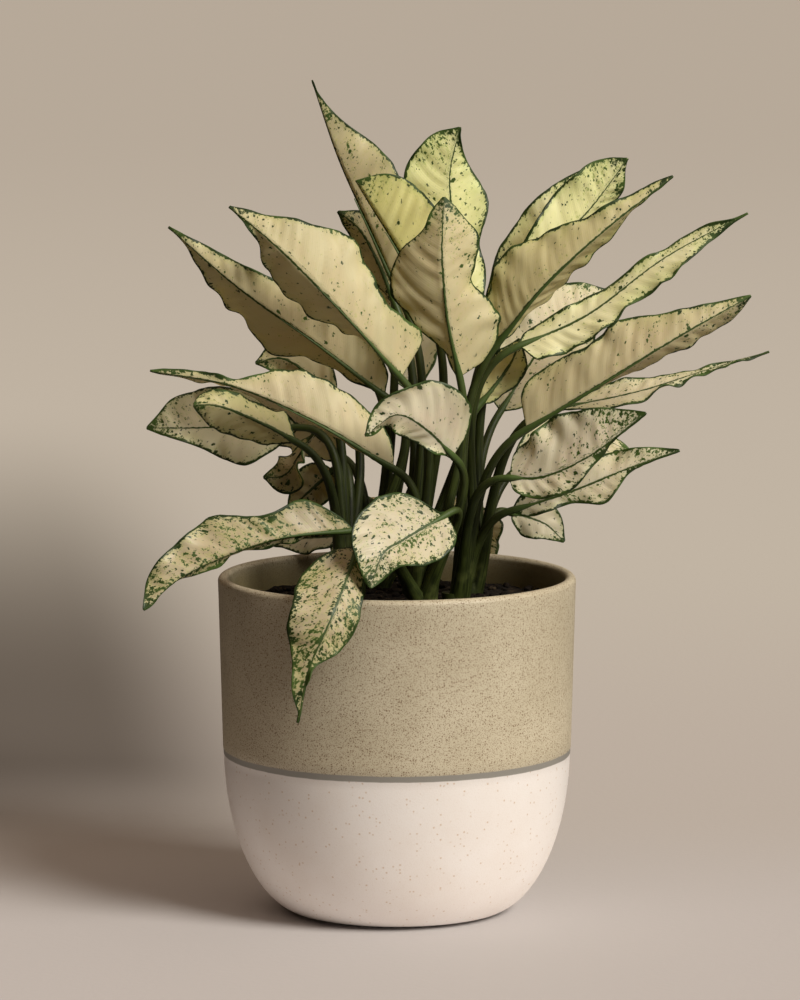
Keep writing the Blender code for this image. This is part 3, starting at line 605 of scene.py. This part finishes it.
def ribPoint(rib, s):
    # a smooth curve through the four rib points
    points = [Vector(p) * mm for p in rib]
    points = [2 * points[0] - points[1]] + points + [2 * points[-1] - points[-2]]
    span = min(int(s * 3), 2)
    t = s * 3 - span
    a, b, c, d = points[span:span + 4]
    return 0.5 * (2 * b + (c - a) * t + (2 * a - 5 * b + 4 * c - d) * t ** 2 + (3 * b - a - 3 * c + d) * t ** 3)


def ribDirection(rib, s):
    step = 0.01
    return (ribPoint(rib, min(s + step, 1)) - ribPoint(rib, max(s - step, 0))).normalized()


# the stalks

stalkValues = dict(
    soilTop=0.182, caneRadius=0.007, caneDepth=0.030, caneAbove=0.010, footRadius=0.0040, topRadius=0.0022,
    rootRise=0.45, neck=0.003, gap=0.0003, upright=0.25, rise=0.36, reach=0.32, sides=14, rings=34, keelRings=14, keelEnd=0.5,
    dark=(0.011, 0.016, 0.003), mid=(0.040, 0.053, 0.010), pale=(0.14, 0.16, 0.04), rib=(0.050, 0.085, 0.018),
)


def stalkCurve(root, leaf, v):
    endDirection = ribDirection(leaf["rib"], 0.0)
    end = ribPoint(leaf["rib"], 0.0) - endDirection * (2 * v["gap"])
    neck = end - endDirection * v["neck"]
    start = Vector((root.x, root.y, v["soilTop"] + v["rootRise"] * v["caneAbove"]))
    lean = (end - start) * 0.12
    lean.z = 0.0
    start += lean.normalized() * min(lean.length, v["caneRadius"] * 0.45)
    length = (neck - start).length
    rising = (Vector((0, 0, 1)) * v["upright"] + (neck - start) / length * (1 - v["upright"])).normalized()
    first = start + rising * length * v["rise"]
    second = neck - endDirection * length * v["reach"]
    points = []
    for i in range(v["rings"]):
        t = i / (v["rings"] - 1)
        points.append(start * (1 - t) ** 3 + first * 3 * t * (1 - t) ** 2 + second * 3 * t * t * (1 - t) + neck * t ** 3)
    points.append(end)
    # the stalk runs on under the blade as its keel
    for i in range(1, v["keelRings"] + 1):
        s = v["keelEnd"] * i / v["keelRings"]
        along = ribDirection(leaf["rib"], s)
        right, left = (Vector(leaf[side]) for side in ("right", "left"))
        face = (right.cross(along).normalized() + along.cross(left).normalized()).normalized()
        points.append(ribPoint(leaf["rib"], s) - face * (0.0012 * min(4 * i / v["keelRings"], 1.0)))
    return points


def addStalk(bm, points, v, layer, seed):
    count = len(points)
    rings = []
    side = Vector((1, 0, 0))
    for i, p in enumerate(points):
        along = (points[min(i + 1, count - 1)] - points[max(i - 1, 0)]).normalized()
        side = (side - along * side.dot(along)).normalized()
        up = along.cross(side)
        share = min(i / (v["rings"] - 1), 1.0)
        past = max(i - v["rings"], 0) / v["keelRings"]
        radius = v["footRadius"] + (v["topRadius"] - v["footRadius"]) * share ** 0.7
        radius *= (1 - past) ** 1.1 * (1 - 0.3 * min(4 * past, 1.0)) + 0.12 * past
        sheath = max(0.0, 1 - share / 0.45) ** 1.2
        ring = []
        for k in range(v["sides"]):
            a = 2 * math.pi * k / v["sides"]
            # a clasping foot: broad to the sides, with a groove down the inner face
            wide = 1 + 0.55 * sheath * abs(math.cos(a)) ** 2
            groove = 1 - (0.15 + 0.35 * sheath) * max(0.0, math.sin(a)) ** 4
            vert = bm.verts.new(p + (side * math.cos(a) * wide + up * math.sin(a) * groove) * radius)
            vert[layer] = Vector((share + past, math.sin(a), seed))
            ring.append(vert)
        rings.append(ring)
    for one, two in zip(rings, rings[1:]):
        for k in range(v["sides"]):
            j = (k + 1) % v["sides"]
            bm.faces.new((one[k], one[j], two[j], two[k]))
    bm.faces.new(list(reversed(rings[0])))
    bm.faces.new(rings[-1])


def addCane(bm, root, v, layer):
    made = bmesh.ops.create_cone(bm, cap_ends=True, segments=24, radius1=v["caneRadius"],
                                 radius2=v["caneRadius"], depth=v["caneDepth"] + v["caneAbove"])["verts"]
    middle = v["soilTop"] + (v["caneAbove"] - v["caneDepth"]) / 2
    for vert in made:
        vert.co += Vector((root.x, root.y, middle))
        vert[layer] = Vector((0.0, 0.0, 0.5))


def stalkMaterial(v):
    mat, tree, shader = newMaterial("stalkGreen", 0.45, 0.3)
    share, around, seed = splitVector(tree, attribute(tree, "stalkPlace"))
    place = addNode(tree, "ShaderNodeTexCoord").outputs["Object"]
    cloud = noiseNode(tree, place, 90, 3)
    stretch = joinVector(tree, mathNode(tree, "MULTIPLY", around, 6.0), mathNode(tree, "MULTIPLY", share, 3.0), seed)
    streak = noiseNode(tree, stretch, 2.2, 3)
    green = mixColour(tree, fade(tree, streak, 0.35, 0.7), v["dark"], v["mid"])
    paler = mathNode(tree, "MULTIPLY", fade(tree, share, 0.55, 1.0), fade(tree, cloud, 0.3, 0.65, 0.25, 0.75))
    green = mixColour(tree, paler, green, v["mid"])
    green = mixColour(tree, fade(tree, share, 0.85, 1.1), green, v["rib"])
    sheathEdge = mathNode(tree, "MULTIPLY", fade(tree, share, 0.12, 0.4, 0.35, 0.0), fade(tree, cloud, 0.5, 0.7))
    plug(tree, shader.inputs["Base Color"], mixColour(tree, sheathEdge, green, v["pale"]))
    plug(tree, shader.inputs["Roughness"], fade(tree, cloud, 0.3, 0.7, 0.40, 0.55))
    bumpInto(tree, shader, streak, 0.25, 0.0006)
    return mat


def makeShoots(v):
    mat = stalkMaterial(v)
    for number, (name, (x, y)) in enumerate(shoots.items()):
        root = Vector((x, y, 0)) * mm

        def build(bm):
            layer = bm.verts.layers.float_vector.new("stalkPlace")
            addCane(bm, root, v, layer)
            for leafName, leaf in leaves.items():
                if leaf["shoot"] == name:
                    addStalk(bm, stalkCurve(root, leaf, v), v, layer, int(leafName[-2:]) * 0.37)
            bmesh.ops.recalc_face_normals(bm, faces=bm.faces)
        shoot = addMesh(name + "_stalks", build, [mat])
        shoot.data.set_sharp_from_angle(angle=math.radians(60))
        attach(shoot, "root")
        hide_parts(name)


makeShoots(stalkValues)
print("stalks stand in the soil")


# the leaf blades

bladeValues = dict(
    rows=104, columns=28, thickness=0.0007, baseHalf=0.0022, tipHalf=0.0007, unfoldedAt=0.5,
    outlineAt=(0.0, 0.04, 0.17, 0.33, 0.5, 0.67, 0.83, 0.94, 1.0), ovate=(0.42, 0.74, 0.97, 1.0, 0.84, 0.5, 0.2),
    veinSpacing=9.5, quiltHeight=0.0011, keel=0.0011, ruffle=0.0045, nibble=0.08,
    cream=(0.83, 0.79, 0.63), blush=(0.83, 0.75, 0.60), lime=(0.58, 0.68, 0.20), tan=(0.55, 0.46, 0.28),
    young=(0.94, 0.97, 0.50), darkGreen=(0.022, 0.046, 0.009), midGreen=(0.078, 0.140, 0.024),
    ribGreen=(0.055, 0.095, 0.020), underTint=(0.88, 0.85, 0.72), throughTint=(1.0, 0.93, 0.38), through=0.39,
)


def halfWidth(leaf, side, s, v):
    # a smooth line through the widths of one half
    reach = Vector((leaf["right"], leaf["left"])[side]).length
    inner = leaf["widths"][side] if "widths" in leaf else [share * reach for share in v["ovate"]]
    widths = [v["baseHalf"], *(width * mm for width in inner), v["tipHalf"]]
    at, last = v["outlineAt"], len(v["outlineAt"]) - 1
    i = max(k for k in range(last) if at[k] <= max(s, 0.0))

    def slope(k):
        before, after = max(k - 1, 0), min(k + 1, last)
        return (widths[after] - widths[before]) / (at[after] - at[before])
    length = at[i + 1] - at[i]
    t = (s - at[i]) / length
    width = widths[i] + (widths[i + 1] - widths[i]) * t * t * (3 - 2 * t)
    width += length * t * (1 - t) * (slope(i) * (1 - t) - slope(i + 1) * t)
    return max(width, v["baseHalf"] + (v["tipHalf"] - v["baseHalf"]) * s)


def bladeRow(leaf, s, along, seed, v):
    # one row of the blade from its left margin to its right: where each point is, and its place on the leaf in mm
    place, direction = ribPoint(leaf["rib"], s), ribDirection(leaf["rib"], s)
    row = []
    height, count, phase = leaf["wave"]
    swell = math.sin(math.pi * s) ** 0.5 if 0 < s < 1 else 0.0
    for k in range(v["columns"] + 1):
        across = 2 * k / v["columns"] - 1
        across = math.copysign(abs(across) ** 0.9, across)
        side = 0 if across >= 0 else 1
        reach = Vector((leaf["right"], leaf["left"])[side])
        flat = (reach - direction * reach.dot(direction)).normalized()
        raised = flat.cross(direction) if side == 0 else direction.cross(flat)
        folded = max(1 - s / leaf.get("unfold", v["unfoldedAt"]), 0.0)
        folded = math.radians(leaf.get("fold", (0, 0))[side]) * folded * folded * (3 - 2 * folded)
        out = flat * math.cos(folded) + raised * math.sin(folded)
        up = raised * math.cos(folded) - flat * math.sin(folded)
        width = halfWidth(leaf, side, s, v)
        share = abs(across)
        uneven = noise.noise(Vector((along / 19, seed * 47.0, side * 5.3)))
        uneven += 0.25 * noise.noise(Vector((along / 5, seed * 31.0, side * 9.7)))
        width *= 1 + v["nibble"] * share ** 3 * uneven * swell
        curl = math.radians(leaf["curl"][side])
        bend = curl * share
        offset = (out * math.sin(bend) + up * (1 - math.cos(bend))) * width / curl
        wave = height * mm * share ** 2 * math.sin(2 * math.pi * (count * s + phase + 0.3 * side))
        wave *= swell
        wave += v["ruffle"] * share ** 2.5 * swell * noise.noise(Vector((along / 11, seed * 23.0, side * 4.3 + 20)))
        ribMm, edgeMm = share * width / mm, (1 - share) * width / mm
        vein = along - 0.5 * ribMm - 0.010 * ribMm ** 2
        tuck = min(ribMm / 5, 1.0) * min(edgeMm / 4, 1.0) * min((1 - s) * 6, 1.0) * min(s * 10, 1.0)
        wave += v["quiltHeight"] * tuck * noise.noise(Vector((vein / v["veinSpacing"] * 2, ribMm / 30, seed * 17.0 + side)))
        keel = math.exp(-(ribMm / 1.9) ** 2) * (1 - s) ** 0.6 * min(width / 0.006, 1.0)
        wave -= v["keel"] * keel * 0.5
        normal = up * math.cos(bend) - out * math.sin(bend)
        row.append((place + offset + normal * wave, (ribMm, edgeMm, s), (vein, ribMm * 1.15, seed * 37 + side * 11)))
    return row


def leafPatternGroup(v):
    # where a blade is green: its margin, midrib, tip and the flecks along its veins
    tree, inputs, outputs = newGroup(
        "leafPattern",
        [("Place", "Vector", None), ("Vein", "Vector", None), ("Kind", "Vector", None),
         ("Rib Width", "Float", 1.6), ("Fleck Gain", "Float", 1.0)],
        [("Green", "Float"), ("Young", "Float"), ("Painted Shade", "Float"), ("Tone", "Float"), ("Halo", "Float"),
         ("Height", "Float"), ("Rib", "Float")])
    rib, edge, s = splitVector(tree, inputs["Place"])
    vein, run, shift = splitVector(tree, inputs["Vein"])
    young, fleck, paintedShade = splitVector(tree, inputs["Kind"])
    across = mathNode(tree, "MULTIPLY_ADD", run, 0.25, vein)
    near = joinVector(tree, mathNode(tree, "MULTIPLY", across, 0.85), mathNode(tree, "MULTIPLY", run, 0.72), shift)
    wide = joinVector(tree, vein, run, shift)
    cloud = noiseNode(tree, wide, 0.055, 3)
    nearEdge = fade(tree, edge, 0.0, 7.0, 1.0, 0.0)
    nearTip = fade(tree, s, 0.60, 0.98)
    nearRib = fade(tree, rib, 0.5, 4.0, 1.0, 0.0)
    share = mathNode(tree, "MULTIPLY_ADD", nearEdge, 0.50, 0.10)
    share = mathNode(tree, "MULTIPLY_ADD", nearTip, 0.60, share)
    share = mathNode(tree, "MULTIPLY_ADD", nearRib, 0.25, share)
    share = mathNode(tree, "MULTIPLY_ADD", fade(tree, cloud, 0.36, 0.66), 0.34, share)
    share = mathNode(tree, "MULTIPLY_ADD", fade(tree, fleck, 0.6, 1.0), 0.24, share)
    share = mathNode(tree, "MULTIPLY_ADD", share, mathNode(tree, "MULTIPLY", fleck, inputs["Fleck Gain"]), -0.05)
    share = mathNode(tree, "MINIMUM", share, 0.62)
    # flecks: scattered cells stretched along the veins, with ragged edges
    stir = addNode(tree, "ShaderNodeVectorMath", operation="MULTIPLY_ADD")
    plug(tree, stir.inputs[0], noiseNode(tree, near, 1.1, 2, colour=True))
    stir.inputs[1].default_value = (2.2, 2.2, 0)
    plug(tree, stir.inputs[2], near)
    # where they crowd together near the margin and the tip they run into a marbling
    marble = noiseNode(tree, stir.outputs[0], 0.55, 3, 0.6)
    over = mathNode(tree, "MULTIPLY_ADD", share, 0.36, mathNode(tree, "SUBTRACT", marble, 0.735))
    green = fade(tree, over, 0.0, 0.02)
    for scale, odds, size in ((1.2, 0.5, 0.42), (0.66, 0.7, 0.46), (0.36, 0.5, 0.44)):
        cells = addNode(tree, "ShaderNodeTexVoronoi")
        plug(tree, cells.inputs["Vector"], stir.outputs[0])
        plug(tree, cells.inputs["Scale"], scale)
        draw, other, _ = splitVector(tree, cells.outputs["Color"])
        chance = mathNode(tree, "MULTIPLY", share, odds)
        kept = fade(tree, mathNode(tree, "SUBTRACT", chance, draw), -0.01, 0.01)
        least = mathNode(tree, "MULTIPLY_ADD", other, size * 0.7, size * 0.3)
        spot = fade(tree, mathNode(tree, "SUBTRACT", cells.outputs["Distance"], least), -0.03, 0.05, 1.0, 0.0)
        green = mathNode(tree, "MAXIMUM", green, mathNode(tree, "MULTIPLY", kept, spot))
    teeth = noiseNode(tree, near, 0.42, 3, 0.6)
    rough = mathNode(tree, "MULTIPLY_ADD", mathNode(tree, "SUBTRACT", teeth, 0.5), -4.5, edge)
    margin = fade(tree, rough, 1.1, 1.6, 1.0, 0.0)
    wash = mathNode(tree, "MULTIPLY", fade(tree, edge, 0.0, 14.0, 0.7, 0.0), fade(tree, cloud, 0.4, 0.62))
    blur = mathNode(tree, "MAXIMUM", fade(tree, over, -0.14, 0.02), fade(tree, rough, 1.4, 4.5, 0.8, 0.0))
    blur = mathNode(tree, "MAXIMUM", blur, wash)
    plug(tree, outputs["Halo"], blur)
    taper = mathNode(tree, "POWER", mathNode(tree, "SUBTRACT", 1.0, mathNode(tree, "MINIMUM", s, 0.999)), 0.9)
    half = mathNode(tree, "MULTIPLY_ADD", taper, inputs["Rib Width"], 0.18)
    ribRough = mathNode(tree, "MULTIPLY_ADD", mathNode(tree, "SUBTRACT", teeth, 0.5), -1.5, rib)
    midrib = fade(tree, ribRough, mathNode(tree, "MULTIPLY", half, 0.8), mathNode(tree, "MULTIPLY", half, 1.15), 1.0, 0.0)
    tip = fade(tree, mathNode(tree, "MULTIPLY_ADD", mathNode(tree, "SUBTRACT", teeth, 0.5), 0.28, s), 0.93, 0.965)
    for part in (margin, tip):
        green = mathNode(tree, "MAXIMUM", green, part)
    plug(tree, outputs["Green"], green)
    plug(tree, outputs["Young"], mathNode(tree, "MULTIPLY", young, fade(tree, cloud, 0.25, 0.7, 0.75, 1.0)))
    # painted shade: each blade is darkened toward tan by its listed amount, a little unevenly across it
    plug(tree, outputs["Painted Shade"], mathNode(tree, "MULTIPLY", paintedShade, fade(tree, cloud, 0.3, 0.6, 0.7, 1.0)))
    plug(tree, outputs["Tone"], cloud)
    plug(tree, outputs["Rib"], midrib)
    fine = mathNode(tree, "SINE", mathNode(tree, "MULTIPLY", vein, 2 * math.pi / 1.4))
    lanes = joinVector(tree, vein, mathNode(tree, "MULTIPLY", run, 0.12), shift)
    height = mathNode(tree, "MULTIPLY_ADD", fine, 0.03, noiseNode(tree, lanes, 0.22, 2))
    plug(tree, outputs["Height"], height)
    return tree


def leafMaterial(name, v, pattern, ribWidth, gain, roughness, under):
    mat, tree, shader = newMaterial(name, roughness, 0.4)
    look = useGroup(tree, pattern, Place=attribute(tree, "leafPlace"), Vein=attribute(tree, "leafVein"),
                    Kind=attribute(tree, "leafKind"), **{"Rib Width": ribWidth, "Fleck Gain": gain})
    pale = mixColour(tree, fade(tree, look["Tone"], 0.35, 0.65), v["cream"], v["blush"])
    pale = mixColour(tree, look["Young"], pale, v["young"])
    # painted shade: blades listed as shaded are darkened toward the tan colour
    pale = mixColour(tree, look["Painted Shade"], pale, v["tan"])
    blur = mathNode(tree, "MULTIPLY", look["Halo"], mathNode(tree, "MULTIPLY_ADD", look["Young"], 0.35, 0.35))
    pale = mixColour(tree, blur, pale, v["lime"])
    if under:
        pale = mixColour(tree, 1.0, pale, v["underTint"], "MULTIPLY")
    green = mixColour(tree, fade(tree, look["Tone"], 0.35, 0.7), v["darkGreen"], v["midGreen"])
    full = mixColour(tree, look["Green"], pale, green)
    full = mixColour(tree, look["Rib"], full, v["ribGreen"])
    plug(tree, shader.inputs["Base Color"], full)
    plug(tree, shader.inputs["Roughness"], fade(tree, look["Tone"], 0.3, 0.7, roughness - 0.04, roughness + 0.08))
    bump = addNode(tree, "ShaderNodeBump")
    bump.inputs["Strength"].default_value = 0.22
    bump.inputs["Distance"].default_value = 0.0012
    plug(tree, bump.inputs["Height"], look["Height"])
    plug(tree, shader.inputs["Normal"], bump.outputs[0])
    lit = addNode(tree, "ShaderNodeBsdfTranslucent")
    plug(tree, lit.inputs["Color"], mixColour(tree, 1.0, full, v["throughTint"], "MULTIPLY"))
    plug(tree, lit.inputs["Normal"], bump.outputs[0])
    mix = addNode(tree, "ShaderNodeMixShader")
    mix.inputs[0].default_value = v["through"]
    plug(tree, mix.inputs[1], shader.outputs[0])
    plug(tree, mix.inputs[2], lit.outputs[0])
    plug(tree, tree.nodes["Material Output"].inputs[0], mix.outputs[0])
    return mat


def makeBlades(v):
    pattern = leafPatternGroup(v)
    upper = leafMaterial("leafUpper", v, pattern, 0.8, 1.0, 0.45, False)
    under = leafMaterial("leafUnder", v, pattern, 1.0, 0.95, 0.55, True)
    for name, leaf in leaves.items():
        number = int(name[-2:])
        seed = number * 0.173 % 1.0
        look = Vector(looks.get(name, (0.1, 0.55, 0.2)))

        def build(bm):
            layers = [bm.verts.layers.float_vector.new(label) for label in ("leafPlace", "leafVein", "leafKind")]
            rows = []
            along, before = 0.0, None
            for i in range(v["rows"] + 1):
                u = i / v["rows"]
                s = 0.65 * u + 0.175 * (1 - math.cos(math.pi * u))
                here = ribPoint(leaf["rib"], s)
                along += (here - before).length / mm if before else 0.0
                before = here
                row = []
                for co, place, vein in bladeRow(leaf, s, along, seed, v):
                    vert = bm.verts.new(co)
                    vert[layers[0]], vert[layers[1]], vert[layers[2]] = Vector(place), Vector(vein), look
                    row.append(vert)
                rows.append(row)
            for one, two in zip(rows, rows[1:]):
                for k in range(v["columns"]):
                    bm.faces.new((one[k], one[k + 1], two[k + 1], two[k]))
        blade = addMesh(name + "_blade", build, [upper, under])
        shell = blade.modifiers.new("thickness", "SOLIDIFY")
        shell.thickness = v["thickness"]
        shell.offset = 0.0
        shell.material_offset = 1
        shell.material_offset_rim = 0
        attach(blade, "root")
        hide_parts(name)


makeBlades(bladeValues)
print("blades are grown")
